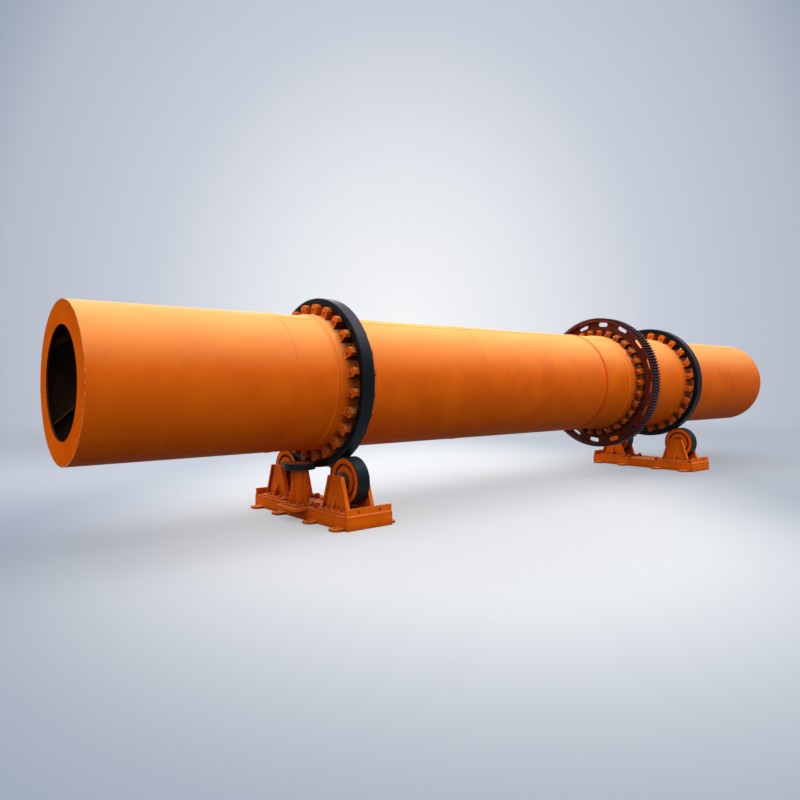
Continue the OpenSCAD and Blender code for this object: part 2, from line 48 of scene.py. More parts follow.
JOINT_AT = {j["name"]: Vector(j["pos_m"]) for j in frame["record"]["behaviour"]["joints"]}
AXIS_Z = JOINT_AT["drum_spin"].z
SHELL_LOW, SHELL_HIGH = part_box("drum_shell")
SHELL_R = (SHELL_HIGH.y - SHELL_LOW.y) / 2
INLET_X = SHELL_LOW.x
OUTLET_X = SHELL_HIGH.x
PAD_COUNT = 24
BRACKET_COUNT = 30

ROLLERS = ("front_left", "front_right", "rear_left", "rear_right")
STATIONS = ("front", "rear")
ENDS = ("inlet", "outlet")


def box_middle(node):
    low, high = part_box(node)
    return (low + high) / 2


def ring_radius(node):
    low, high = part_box(node)
    return (high.y - low.y) / 2


# ------ bench helpers ------

def clear_selection():
    if bpy.context.object and bpy.context.object.mode != "OBJECT":
        bpy.ops.object.mode_set(mode="OBJECT")
    bpy.ops.object.select_all(action="DESELECT")


def take(*things):
    """Selects these objects only, the last one active."""
    clear_selection()
    for thing in things:
        thing.select_set(True)
    bpy.context.view_layer.objects.active = things[-1]


def start(name):
    """Names the primitive just added and hands it over."""
    thing = bpy.context.object
    thing.name = name
    thing.data.name = name
    return thing


def edit(thing, kind="FACE"):
    take(thing)
    bpy.ops.object.mode_set(mode="EDIT")
    bpy.ops.mesh.select_mode(type=kind)
    bpy.ops.mesh.select_all(action="DESELECT")


def close():
    bpy.ops.object.mode_set(mode="OBJECT")


def pick_all():
    bpy.ops.mesh.select_all(action="SELECT")


def pick_faces(thing, wanted):
    """Selects the faces for which wanted(centre, normal) holds."""
    mesh = bmesh.from_edit_mesh(thing.data)
    for face in mesh.faces:
        face.select_set(bool(wanted(face.calc_center_median(), face.normal)))
    bmesh.update_edit_mesh(thing.data)


def pick_edges(thing, wanted):
    """Selects the edges for which wanted(one end, other end) holds."""
    mesh = bmesh.from_edit_mesh(thing.data)
    for edge in mesh.edges:
        a, b = (v.co for v in edge.verts)
        edge.select_set(bool(wanted(a, b)))
    mesh.select_flush_mode()
    bmesh.update_edit_mesh(thing.data)


def face_outwards(thing):
    edit(thing)
    pick_all()
    bpy.ops.mesh.normals_make_consistent(inside=False)
    close()


def smooth(thing, degrees=35):
    take(thing)
    bpy.ops.object.shade_smooth_by_angle(angle=math.radians(degrees))


def settle(thing):
    """Puts the place of a piece into its mesh."""
    take(thing)
    bpy.ops.object.transform_apply(location=True, rotation=True, scale=True)


def cylinder(name, sides, radius, low, high):
    """Starts an upright cylinder on the Z axis between two heights."""
    bpy.ops.mesh.primitive_cylinder_add(
        vertices=sides, radius=radius, depth=high - low, location=(0, 0, (low + high) / 2))
    blank = start(name)
    settle(blank)
    return blank


def bevel_edges(thing, wanted, offset, segments=1):
    """Breaks the edges for which wanted(one end, other end) holds."""
    edit(thing, "EDGE")
    pick_edges(thing, wanted)
    bpy.ops.mesh.bevel(offset=offset, segments=segments)
    close()
    return thing


def bevel_top(thing, top, offset, segments=1):
    """Breaks the edges that lie at the height of the top."""
    return bevel_edges(thing, lambda a, b: min(a.z, b.z) > top - 1e-5, offset, segments)


def join(name, things):
    take(*things)
    if len(things) > 1:
        bpy.ops.object.join()
    joined = bpy.context.object
    joined.name = name
    joined.data.name = name
    return joined


def set_out(name, pattern, places):
    """Copies a finished pattern piece to each place, each with its own mesh,
    and joins the copies into one piece. The pattern itself is scrapped."""
    placed = []
    for place in places:
        copy = pattern.copy()
        copy.data = pattern.data.copy()
        bpy.context.scene.collection.objects.link(copy)
        copy.matrix_world = place
        placed.append(copy)
    take(*placed)
    bpy.ops.object.transform_apply(location=True, rotation=True, scale=True)
    bpy.data.objects.remove(pattern)
    return join(name, placed)


def deliver(thing, body, material):
    """Paints a finished piece and hangs it on its body."""
    thing.data.materials.clear()
    thing.data.materials.append(material)
    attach(thing, body)


def deliver_machined(thing, body, material):
    """Delivers a piece that is smooth but for its corners."""
    smooth(thing, 30)
    deliver(thing, body, material)


def at(x, y, z):
    return Matrix.Translation((x, y, z))


def turned(degrees, axis):
    return Matrix.Rotation(math.radians(degrees), 4, axis)


# ------ shader helpers ------

def put(tree, kind, **settings):
    """Adds a node. A setting named after a property sets it, in_N sets input N."""
    made = tree.nodes.new(kind)
    for key, value in settings.items():
        if key.startswith("in_"):
            key = key[3:]
            made.inputs[int(key) if key.isdigit() else key].default_value = value
        else:
            setattr(made, key, value)
    return made


def wire(tree, source, target):
    tree.links.new(source, target)


def maths(tree, operation, a, b=None, clamp=False):
    made = put(tree, "ShaderNodeMath", operation=operation, use_clamp=clamp)
    for socket, value in zip(made.inputs, (a, b)):
        if value is None:
            continue
        if isinstance(value, (int, float)):
            socket.default_value = value
        else:
            wire(tree, value, socket)
    return made.outputs[0]


def times(tree, a, b):
    return maths(tree, "MULTIPLY", a, b)


def between(tree, value, low, high, out_low=0.0, out_high=1.0, smoothly=True):
    made = put(
        tree, "ShaderNodeMapRange",
        interpolation_type="SMOOTHSTEP" if smoothly else "LINEAR",
        in_1=low, in_2=high, in_3=out_low, in_4=out_high,
    )
    wire(tree, value, made.inputs[0])
    return made.outputs[0]


def opaque(colour):
    return colour + (1.0,)


def blend(tree, share, first, second):
    """Mixes two colours, each a socket or (red, green, blue)."""
    made = put(tree, "ShaderNodeMix", data_type="RGBA")
    for index, value in ((0, share), (6, first), (7, second)):
        if isinstance(value, tuple):
            made.inputs[index].default_value = opaque(value)
        else:
            wire(tree, value, made.inputs[index])
    return made.outputs[2]


def tint(tree, mask, amount, under, over):
    """Lays one colour over another where the mask is, as thick as amount."""
    return blend(tree, times(tree, mask, amount), under, over)


def own_place(tree):
    return put(tree, "ShaderNodeTexCoord").outputs["Object"]


def own_normal(tree):
    return put(tree, "ShaderNodeTexCoord").outputs["Normal"]


def xyz(tree, vector):
    made = put(tree, "ShaderNodeSeparateXYZ")
    wire(tree, vector, made.inputs[0])
    return made.outputs


def mapped(tree, vector, **settings):
    made = put(tree, "ShaderNodeMapping", **settings)
    wire(tree, vector, made.inputs[0])
    return made.outputs[0]


def length_of(tree, vector):
    made = put(tree, "ShaderNodeVectorMath", operation="LENGTH")
    wire(tree, vector, made.inputs[0])
    return made.outputs["Value"]


def dot(tree, first, second):
    made = put(tree, "ShaderNodeVectorMath", operation="DOT_PRODUCT")
    wire(tree, first, made.inputs[0])
    wire(tree, second, made.inputs[1])
    return made.outputs["Value"]


def from_axis(tree, place):
    """Place as seen from the drum's axis, with the run along it left out."""
    return mapped(tree, place, in_Location=(0.0, 0.0, -AXIS_Z), in_Scale=(0.0, 1.0, 1.0))


def new_group(name, inputs, outputs):
    group = bpy.data.node_groups.new(name, "ShaderNodeTree")
    for title, value in inputs:
        socket = group.interface.new_socket(title, in_out="INPUT", socket_type="NodeSocketFloat")
        socket.default_value = value
    for title in outputs:
        group.interface.new_socket(title, in_out="OUTPUT", socket_type="NodeSocketFloat")
    return group, put(group, "NodeGroupInput").outputs, put(group, "NodeGroupOutput").inputs


def use(tree, group, **values):
    made = tree.nodes.new("ShaderNodeGroup")
    made.node_tree = group
    for key, value in values.items():
        made.inputs[key.replace("_", " ").capitalize()].default_value = value
    return made.outputs


def noise(tree, coordinates, scale, detail=4.0, roughness=0.55, stretch=None):
    made = put(tree, "ShaderNodeTexNoise", in_Detail=detail, in_Roughness=roughness)
    if isinstance(scale, (int, float)):
        made.inputs["Scale"].default_value = scale
    else:
        wire(tree, scale, made.inputs["Scale"])
    if stretch:
        coordinates = mapped(tree, coordinates, in_Scale=stretch)
    wire(tree, coordinates, made.inputs["Vector"])
    return made.outputs["Fac"]


# ------ shared effects ------

def make_edge_wear():
    """Mask of worn edges, broken up so that the paint is gone only in places."""
    group, given, out = new_group(
        "edge_wear", (("Width", 0.006), ("Break up", 40.0), ("Amount", 0.6)), ("Worn", "Edge"))
    rounded = put(group, "ShaderNodeBevel", samples=4)
    wire(group, given["Width"], rounded.inputs["Radius"])
    flat = put(group, "ShaderNodeNewGeometry").outputs["Normal"]
    edge = between(group, dot(group, rounded.outputs[0], flat), 0.985, 0.86)
    grain = noise(group, own_place(group), given["Break up"], detail=6.0, roughness=0.7)
    broken = times(group, edge, maths(group, "ADD", grain, 0.35))
    worn = maths(group, "SUBTRACT", broken, maths(group, "SUBTRACT", 1.0, given["Amount"]))
    wire(group, between(group, worn, 0.0, 0.12), out["Worn"])
    wire(group, edge, out["Edge"])
    return group


def make_mottle():
    """Clouds of lighter and darker colour, drifts a metre long, and a fine grain."""
    group, given, out = new_group(
        "mottle", (("Patch scale", 2.2), ("Grain scale", 60.0)), ("Clouds", "Grain", "Drift"))
    place = own_place(group)
    clouds = noise(group, place, given["Patch scale"], detail=5.0, roughness=0.6)
    wire(group, between(group, clouds, 0.3, 0.7), out["Clouds"])
    grain = noise(group, place, given["Grain scale"], detail=3.0)
    wire(group, between(group, grain, 0.3, 0.7), out["Grain"])
    drift = noise(group, place, 0.7, detail=2.0, stretch=(0.5, 1.0, 1.0))
    wire(group, between(group, drift, 0.35, 0.65), out["Drift"])
    return group


def make_dust_and_top_sheen():
    """Where dust and dried splashes lie with the object at rest: on faces that
    look up, thicker low down near the floor, and in runs on upright faces. Top
    sheen is a painted highlight, lighter the more a face looks up. It goes by
    the object's own normal, so that it turns with the drum."""
    group, given, out = new_group(
        "dust", (("Amount", 0.5), ("Runs", 0.4)), ("Settled", "Streaks", "Top sheen"))
    upwards = xyz(group, own_normal(group))["Z"]
    place = own_place(group)
    up = between(group, upwards, 0.45, 0.98)
    low = between(group, xyz(group, place)["Z"], 1.3, 0.0, 0.35, 1.0)
    patchy = between(group, noise(group, place, 9.0, detail=6.0, roughness=0.65), 0.35, 0.68)
    settled = times(group, times(group, up, low), patchy)
    wire(group, times(group, settled, given["Amount"]), out["Settled"])
    # Top sheen, a painted highlight: stronger the more a face looks up, in soft patches
    sheen_tone = noise(group, place, 3.1, detail=4.0, stretch=(0.35, 1.0, 1.0))
    sheen_tone = between(group, sheen_tone, 0.25, 0.75, 0.78, 1.0)
    top_sheen = times(group, between(group, upwards, 0.05, 1.0), sheen_tone)
    wire(group, top_sheen, out["Top sheen"])
    runs = noise(group, place, 14.0, detail=3.0, stretch=(1.0, 1.0, 0.07))
    runs = between(group, runs, 0.56, 0.74)
    upright = between(group, maths(group, "ABSOLUTE", upwards), 0.75, 0.25)
    streaks = times(group, runs, upright)
    wire(group, times(group, streaks, given["Runs"]), out["Streaks"])
    return group


def make_lathe_marks(name, across):
    """Fine rings left by turning, round an axis that runs along X, or upright
    where across is False. Place is measured from that axis."""
    group, given, out = new_group(name, (("Pitch", 300.0),), ("Rings", "Bands"))
    group.interface.new_socket("Place", in_out="INPUT", socket_type="NodeSocketVector")
    place = xyz(group, group.nodes["Group Input"].outputs["Place"])
    along, first, second = ("X", "Y", "Z") if across else ("Z", "X", "Y")
    squares = [maths(group, "POWER", place[a], 2.0) for a in (first, second)]
    profile = put(group, "ShaderNodeCombineXYZ")
    wire(group, maths(group, "SQRT", maths(group, "ADD", *squares)), profile.inputs[0])
    wire(group, place[along], profile.inputs[1])
    wire(group, noise(group, profile.outputs[0], given["Pitch"], detail=2.0), out["Rings"])
    bands = noise(group, profile.outputs[0], 26.0, detail=3.0)
    wire(group, between(group, bands, 0.35, 0.65), out["Bands"])
    return group


def make_painted_corner_shade():
    """Mask of the inner corners, for painted shade that darkens them as a contact shadow would,
    broken up in patches.
    """
    group, given, out = new_group("painted_corner_shade", (("Reach", 0.07), ("Amount", 0.8)), ("Shade",))
    open_sky = put(group, "ShaderNodeAmbientOcclusion", samples=6)
    wire(group, given["Reach"], open_sky.inputs["Distance"])
    patchy = noise(group, own_place(group), 24.0, detail=5.0, roughness=0.65)
    patchy = between(group, patchy, 0.25, 0.7, 0.65, 1.0)
    corner = times(group, between(group, open_sky.outputs["AO"], 0.82, 0.22), patchy)
    wire(group, times(group, corner, given["Amount"]), out["Shade"])
    return group


def make_grease_band():
    """Mask of oily dirt thrown out on both sides of a tyre or gear at Middle,
    measured along the drum."""
    group, given, out = new_group(
        "grease_band", (("Middle", 0.0), ("Inner", 0.07), ("Outer", 0.18)), ("Grease",))
    place = own_place(group)
    along = xyz(group, place)["X"]
    apart = maths(group, "ABSOLUTE", maths(group, "SUBTRACT", along, given["Middle"]))
    ragged = noise(group, place, 15.0, detail=5.0, roughness=0.6)
    apart = maths(group, "ADD", apart, times(group, ragged, 0.05))
    near = put(group, "ShaderNodeMapRange", interpolation_type="SMOOTHSTEP", in_3=1.0, in_4=0.0)
    wire(group, apart, near.inputs[0])
    wire(group, given["Inner"], near.inputs[1])
    wire(group, given["Outer"], near.inputs[2])
    wire(group, near.outputs[0], out["Grease"])
    return group


def make_chamber_side():
    """1 on the faces that look towards the drum's axis or into the chamber. Both
    place and normal are the object's own, so that the lining turns with the drum."""
    group, _, out = new_group("chamber_side", (), ("Inside",))
    place, normal = own_place(group), own_normal(group)
    inwards = dot(group, from_axis(group, place), normal)
    lining = maths(group, "LESS_THAN", inwards, -0.2)
    inland = times(group, xyz(group, normal)["X"], xyz(group, place)["X"])
    back = maths(group, "LESS_THAN", inland, -0.5)
    wire(group, maths(group, "MAXIMUM", lining, back), out["Inside"])
    return group


EDGE_WEAR = make_edge_wear()
PAINTED_CORNER_SHADE = make_painted_corner_shade()
GREASE_BAND = make_grease_band()
CHAMBER_SIDE = make_chamber_side()
MOTTLE = make_mottle()
DUST_AND_TOP_SHEEN = make_dust_and_top_sheen()
LATHE_ROUND = make_lathe_marks("lathe_marks_along_drum", True)
LATHE_UPRIGHT = make_lathe_marks("lathe_marks_upright", False)


# ------ materials ------
# Colours are red, green, blue. A pair is the lighter and the deeper of a coat.

SHELL_ORANGE = (0.86, 0.155, 0.003), (0.74, 0.112, 0.002)
END_ORANGE = (0.84, 0.138, 0.001), (0.70, 0.096, 0.001)
FRAME_ORANGE = (0.86, 0.150, 0.003), (0.70, 0.098, 0.002)
BLOCK_ORANGE = (0.84, 0.150, 0.003), (0.66, 0.098, 0.002)
BEAD_ORANGE = (0.88, 0.165, 0.004), (0.76, 0.120, 0.003)
FRAME_BEAD_ORANGE = (0.86, 0.150, 0.003), (0.66, 0.090, 0.002)
FASTENER_ORANGE = (0.80, 0.125, 0.003), (0.56, 0.070, 0.002)
SCREW_RED = (0.74, 0.070, 0.006), (0.48, 0.035, 0.004)
SEAM_RED = (0.80, 0.085, 0.003), (0.64, 0.050, 0.002)
CHAMBER_BROWN = (0.22, 0.060, 0.016), (0.10, 0.026, 0.010)
GEAR_RED = (0.140, 0.021, 0.008), (0.080, 0.011, 0.005)
SCORCHED = (0.080, 0.040, 0.022), (0.030, 0.017, 0.010)

# Painted highlight for what looks up and for the edges, which also reads as bleached and rubbed
# paint
SHEEN_AND_BLEACH_ORANGE = (0.96, 0.430, 0.130)
CHIP_PRIMER = (0.10, 0.035, 0.022)
THROWN_GREASE = (0.135, 0.034, 0.006)
# Painted shade for the inner corners
CORNER_SHADE_COLOUR = (0.060, 0.013, 0.003)
# Painted shade for the faces that look down
UNDERSIDE_SHADE = (0.016, 0.006, 0.003)
DIRT_RUN = (0.20, 0.050, 0.010)
DRY_DUST = (0.46, 0.31, 0.18)

TYRE_BASE = (0.004, 0.006, 0.008)
TYRE_BAND = (0.007, 0.015, 0.023)
RIM_BAND = (0.018, 0.050, 0.062)
# Painted highlights: reflections of the light above, laid on what looks up
TYRE_TOP_HIGHLIGHT = (0.098, 0.085, 0.112)
ROLLER_TOP_HIGHLIGHT = (0.030, 0.058, 0.070)


def new_material(name, **constants):
    """A material with its Principled shader; constants go on the shader's own sockets."""
    material = bpy.data.materials.new(name)
    material.use_nodes = True
    tree = material.node_tree
    shader = tree.nodes["Principled BSDF"]
    for key, value in constants.items():
        shader.inputs[key.replace("_", " ")].default_value = value
    return material, tree, shader


def feed(tree, shader, **sockets):
    for key, socket in sockets.items():
        wire(tree, socket, shader.inputs[key.replace("_", " ")])


def relief(tree, shader, heights):
    """Adds several heights, each (value, metres), into one bump on the shader."""
    total = None
    for value, depth in heights:
        part = times(tree, value, depth)
        total = part if total is None else maths(tree, "ADD", total, part)
    bump = put(tree, "ShaderNodeBump", in_Strength=1.0, in_Distance=1.0)
    wire(tree, total, bump.inputs["Height"])
    wire(tree, bump.outputs[0], shader.inputs["Normal"])


def machine_enamel(name, coat, wear=0.45, dust=0.5, runs=0.35, plate=0.0, shine=0.58, top_sheen=0.5,
                   lined=False, edge=0.005, corner_shade=0.75, reach=0.07, grease_at=None, gloss=0.07,
                   lip=0.45, under=0.0):
    """Satin enamel on plate: clouds of colour, chipped edges with primer below,
    dust and runs, a painted highlight on what looks up, and painted shade in the
    inner corners. Where lined is true the faces that look at the drum's axis
    carry scorched primer instead. lip is how far the edges are rubbed pale and
    painted lighter as if catching the light, under how dark the undersides are
    painted as shade."""
    light, deep = coat
    material, tree, shader = new_material(name, Coat_Roughness=0.4, Specular_IOR_Level=gloss)
    mottle = use(tree, MOTTLE, Patch_scale=2.6, Grain_scale=70.0)
    wear_and_edges = use(tree, EDGE_WEAR, Width=edge, Break_up=38.0, Amount=wear)
    dust_and_top_sheen = use(tree, DUST_AND_TOP_SHEEN, Amount=dust, Runs=runs)
    colour = blend(tree, mottle["Clouds"], deep, light)
    colour = tint(tree, mottle["Drift"], 0.35, colour, light)
    # Painted highlight on what looks up, which also reads as sun-bleached paint
    colour = tint(tree, dust_and_top_sheen["Top sheen"], top_sheen, colour, SHEEN_AND_BLEACH_ORANGE)
    # Edges rubbed pale and painted lighter as if catching the light
    colour = tint(tree, wear_and_edges["Edge"], lip, colour, SHEEN_AND_BLEACH_ORANGE)
    colour = blend(tree, wear_and_edges["Worn"], colour, CHIP_PRIMER)
    shaded_corners = use(tree, PAINTED_CORNER_SHADE, Reach=reach, Amount=corner_shade)["Shade"]
    if grease_at is not None:
        greasy = use(tree, GREASE_BAND, Middle=grease_at)["Grease"]
        colour = tint(tree, greasy, 0.62, colour, THROWN_GREASE)
    # Painted shade darkens the inner corners
    colour = blend(tree, shaded_corners, colour, CORNER_SHADE_COLOUR)
    # Painted shade darkens the faces that look down
    if under:
        upwards = xyz(tree, own_normal(tree))["Z"]
        shaded_below = between(tree, upwards, -0.15, -0.65, 0.0, under)
        colour = blend(tree, shaded_below, colour, UNDERSIDE_SHADE)
    colour = blend(tree, dust_and_top_sheen["Streaks"], colour, DIRT_RUN)
    colour = blend(tree, dust_and_top_sheen["Settled"], colour, DRY_DUST)
    if lined:
        inside = use(tree, CHAMBER_SIDE)["Inside"]
        scorched = blend(tree, mottle["Clouds"], SCORCHED[1], SCORCHED[0])
        colour = blend(tree, inside, colour, scorched)
    rough = between(tree, mottle["Grain"], 0.0, 1.0, shine - 0.05, shine + 0.08)
    for mask, roughened in (
            (dust_and_top_sheen["Settled"], 0.4), (mottle["Clouds"], 0.08), (wear_and_edges["Worn"], 0.25)):
        rough = maths(tree, "ADD", rough, times(tree, mask, roughened))
    clean = maths(tree, "SUBTRACT", 1.0, dust_and_top_sheen["Settled"], clamp=True)
    feed(tree, shader, Base_Color=colour, Roughness=rough, Coat_Weight=times(tree, clean, 0.02))
    place = own_place(tree)
    peel = noise(tree, place, 220.0, detail=2.0)
    heights = [(peel, 0.00003), (mottle["Grain"], 0.00006), (wear_and_edges["Worn"], -0.0003)]
    if plate:
        dents = noise(tree, place, 1.7, detail=2.0, roughness=0.4, stretch=(0.55, 1.0, 1.0))
        heights.append((dents, plate))
    relief(tree, shader, heights)
    return material


def rolled_steel(name, base, band, sheen_tone, centre, upright=False):
    """Dark bearing steel with turning rings and rolled bands; a painted reflection
    of the light above lies on what looks up, a painted highlight on the edges and
    painted shade in the inner corners."""
    material, tree, shader = new_material(name, Specular_IOR_Level=0.10, Coat_Roughness=0.3)
    centred = mapped(tree, own_place(tree), in_Location=tuple(-c for c in centre))
    marks = use(tree, LATHE_UPRIGHT if upright else LATHE_ROUND, Pitch=420.0)
    wire(tree, centred, marks["Rings"].node.inputs["Place"])
    mottle = use(tree, MOTTLE, Patch_scale=7.0, Grain_scale=110.0)
    wear_and_edges = use(tree, EDGE_WEAR, Width=0.006, Break_up=60.0, Amount=0.62)
    dust_and_top_sheen = use(tree, DUST_AND_TOP_SHEEN, Amount=0.3, Runs=0.0)
    shaded_corners = use(tree, PAINTED_CORNER_SHADE, Reach=0.08, Amount=0.85)["Shade"]
    smear = tuple(c * darker for c, darker in zip(base, (0.5, 0.55, 0.6)))
    colour = blend(tree, marks["Bands"], base, band)
    colour = tint(tree, mottle["Clouds"], 0.4, colour, smear)
    # Painted highlight on the edges
    colour = tint(tree, wear_and_edges["Edge"], 0.45, colour, (0.095, 0.080, 0.058))
    # Painted reflection of the light above on what looks up
    colour = tint(tree, dust_and_top_sheen["Top sheen"], 0.8, colour, sheen_tone)
    # Painted shade in the inner corners
    colour = blend(tree, shaded_corners, colour, (0.004, 0.004, 0.004))
    rough = between(tree, marks["Rings"], 0.3, 0.7, 0.34, 0.46)
    rough = maths(tree, "ADD", rough, times(tree, mottle["Clouds"], 0.12))
    feed(tree, shader, Base_Color=colour, Roughness=rough,
         Metallic=between(tree, marks["Bands"], 0.0, 1.0, 0.15, 0.4),
         Coat_Weight=times(tree, mottle["Clouds"], 0.08))
    relief(tree, shader, [(marks["Rings"], 0.00006), (mottle["Grain"], 0.00006)])
    return material


def gear_paint():
    """Red-brown primer on the web; toward the teeth a film of old grease and
    dust, and rubbed steel on their tips. A painted highlight lies on what looks
    up, painted shade in the inner corners."""
    material, tree, shader = new_material(
        "girth_gear_primer", Specular_IOR_Level=0.08, Coat_Roughness=0.25)
    mottle = use(tree, MOTTLE, Patch_scale=6.0, Grain_scale=90.0)
    wear_and_edges = use(tree, EDGE_WEAR, Width=0.004, Break_up=55.0, Amount=0.6)
    dust_and_top_sheen = use(tree, DUST_AND_TOP_SHEEN, Amount=0.35, Runs=0.3)
    reach = length_of(tree, from_axis(tree, own_place(tree)))
    gear_r = ring_radius("girth_gear")
    teeth = between(tree, reach, gear_r - 0.036, gear_r - 0.018)
    tips = between(tree, reach, gear_r - 0.006, gear_r - 0.001)
    shaded_corners = use(tree, PAINTED_CORNER_SHADE, Reach=0.05, Amount=0.85)["Shade"]
    colour = blend(tree, mottle["Clouds"], GEAR_RED[1], GEAR_RED[0])
    # Painted highlight on what looks up
    colour = tint(tree, dust_and_top_sheen["Top sheen"], 0.25, colour, (0.18, 0.060, 0.045))
    colour = tint(tree, teeth, 0.85, colour, (0.034, 0.013, 0.024))
    colour = tint(tree, tips, 0.5, colour, (0.10, 0.075, 0.10))
    colour = tint(tree, wear_and_edges["Edge"], 0.35, colour, (0.22, 0.090, 0.085))
    # Painted shade in the inner corners
    colour = blend(tree, shaded_corners, colour, (0.010, 0.004, 0.005))
    colour = blend(tree, dust_and_top_sheen["Settled"], colour, (0.30, 0.16, 0.12))
    rough = between(tree, mottle["Grain"], 0.0, 1.0, 0.42, 0.60)
    oiled = maths(tree, "SUBTRACT", rough, times(tree, teeth, 0.12))
    feed(tree, shader, Base_Color=colour, Roughness=oiled, Metallic=times(tree, tips, 0.5))
    relief(tree, shader, [(mottle["Grain"], 0.00008), (mottle["Clouds"], 0.0004)])
    return material


def turned_shaft(name, base):
    """Bare turned steel, its fine lines running round it, pale on the edges."""
    material, tree, shader = new_material(name, Specular_IOR_Level=0.6)
    mottle = use(tree, MOTTLE, Patch_scale=18.0, Grain_scale=160.0)
    wear_and_edges = use(tree, EDGE_WEAR, Width=0.003, Break_up=90.0, Amount=0.6)
    lines = noise(tree, own_place(tree), 500.0, detail=1.0, stretch=(1.0, 0.03, 0.03))
    colour = blend(tree, mottle["Clouds"], tuple(c * 0.5 for c in base), base)
    colour = tint(tree, wear_and_edges["Edge"], 0.6, colour, (0.36, 0.35, 0.34))
    feed(tree, shader, Base_Color=colour, Roughness=between(tree, lines, 0.3, 0.7, 0.28, 0.46),
         Metallic=between(tree, mottle["Clouds"], 0.0, 1.0, 0.55, 0.85))
    relief(tree, shader, [(lines, 0.0001), (mottle["Grain"], 0.0001)])
    return material


shell_enamel = machine_enamel(
    "shell_enamel", SHELL_ORANGE, wear=0.22, dust=0.06, runs=0.05, plate=0.006, top_sheen=1.0,
    lined=True, edge=0.013, corner_shade=0.0, gloss=0.05, lip=0.75)
end_enamel = machine_enamel(
    "end_plate_enamel", END_ORANGE, wear=0.30, dust=0.03, runs=0.08, lined=True, edge=0.010,
    corner_shade=0.0, gloss=0.0, lip=0.6)
frame_enamel = machine_enamel(
    "frame_enamel", FRAME_ORANGE, wear=0.44, dust=0.10, runs=0.26, top_sheen=0.34, gloss=0.03,
    corner_shade=0.95, reach=0.10, lip=0.6)
wheel_enamel = machine_enamel(
    "wheel_enamel", FRAME_ORANGE, wear=0.46, dust=0.06, runs=0.10, top_sheen=0.2, reach=0.05,
    corner_shade=1.0, gloss=0.02)
bead_enamel = machine_enamel(
    "weld_bead_enamel", BEAD_ORANGE, wear=0.25, dust=0.04, runs=0.0, top_sheen=0.95, corner_shade=0.0)
fastener_enamel = machine_enamel(
    "fastener_enamel", FASTENER_ORANGE, wear=0.55, dust=0.10, runs=0.0, top_sheen=0.4,
    edge=0.0015, corner_shade=0.6, reach=0.03)
seam_enamel = machine_enamel(
    "seam_enamel", SEAM_RED, wear=0.25, dust=0.04, runs=0.0, top_sheen=0.35, corner_shade=0.0)
frame_bead_enamel = machine_enamel(
    "frame_bead_enamel", FRAME_BEAD_ORANGE, wear=0.3, dust=0.08, runs=0.0, top_sheen=0.4,
    corner_shade=0.45, reach=0.03, gloss=0.03)
screw_enamel = machine_enamel(
    "adjusting_screw_enamel", SCREW_RED, wear=0.55, dust=0.12, runs=0.0, top_sheen=0.4,
    edge=0.002, corner_shade=0.6, reach=0.03, gloss=0.03)
chamber_primer = machine_enamel(
    "chamber_primer", CHAMBER_BROWN, wear=0.40, dust=0.30, runs=0.5, shine=0.55)
bolt_steel = turned_shaft("bolt_steel", (0.11, 0.10, 0.10))
shaft_steel = turned_shaft("roller_shaft_steel", (0.10, 0.10, 0.105))
tyre_steel = rolled_steel(
    "riding_tyre_steel", TYRE_BASE, TYRE_BAND, TYRE_TOP_HIGHLIGHT, (0.0, 0.0, AXIS_Z))


def ring_enamels(name, middle):
    """The paint of a wrapper plate and of the blocks on it, greasy near middle."""
    wrapper = machine_enamel(
        name + "_wrapper_enamel", SHELL_ORANGE, wear=0.40, dust=0.06, runs=0.05, top_sheen=0.95,
        edge=0.008, corner_shade=0.9, reach=0.06, grease_at=middle)
    blocks = machine_enamel(
        name + "_block_enamel", BLOCK_ORANGE, wear=0.40, dust=0.06, runs=0.0, top_sheen=0.6,
        corner_shade=1.0, reach=0.09, grease_at=middle, gloss=0.03, under=0.9)
    return wrapper, blocks


gear_wrapper_enamel, bracket_enamel = ring_enamels("gear", box_middle("girth_gear").x)
NODE_PAINT = {
    "drum_shell": shell_enamel,
    "inlet_end_plate": end_enamel, "outlet_end_plate": end_enamel,
    "feed_flights": chamber_primer, "lifting_flights": chamber_primer,
    "girth_gear": gear_paint(), "gear_wrapper": gear_wrapper_enamel,
    "gear_brackets": bracket_enamel,
    "front_thrust_stands": frame_enamel,
}
for station in STATIONS:
    wrapper_enamel, block_enamel = ring_enamels(station, box_middle(station + "_tyre").x)
    NODE_PAINT[station + "_tyre"] = tyre_steel
    NODE_PAINT[station + "_tyre_wrapper"] = wrapper_enamel
    NODE_PAINT[station + "_tyre_pads"] = block_enamel
    NODE_PAINT[station + "_stop_blocks"] = block_enamel
    for part in ("base_frame", "deck", "end_rails", "anchor_lugs", "left_stands", "right_stands"):
        NODE_PAINT[station + "_" + part] = frame_enamel
for which in ROLLERS:
    NODE_PAINT[which + "_roller_tread"] = rolled_steel(
        which + "_tread_steel", TYRE_BASE, TYRE_BAND, ROLLER_TOP_HIGHLIGHT, JOINT_AT[which + "_roller_spin"])
    NODE_PAINT[which + "_roller_wheel"] = wheel_enamel
    NODE_PAINT[which + "_roller_shaft"] = shaft_steel
for which in ENDS:
    NODE_PAINT[which + "_thrust_rim"] = rolled_steel(
        which + "_rim_steel", TYRE_BASE, RIM_BAND, ROLLER_TOP_HIGHLIGHT,
        JOINT_AT[which + "_thrust_roller_spin"], upright=True)
    NODE_PAINT[which + "_thrust_hub"] = wheel_enamel

for node_name, node_object in frame["nodes"].items():
    node_object.data.materials.clear()
    node_object.data.materials.append(NODE_PAINT[node_name])


# ------ fasteners ------

# Thickness of a washer and height of a head or nut, for a thread size of 1

WASHER_T, HEAD_H = 0.16, 0.72
# How far a drawn piece runs into what it sits on
BITE = 0.001


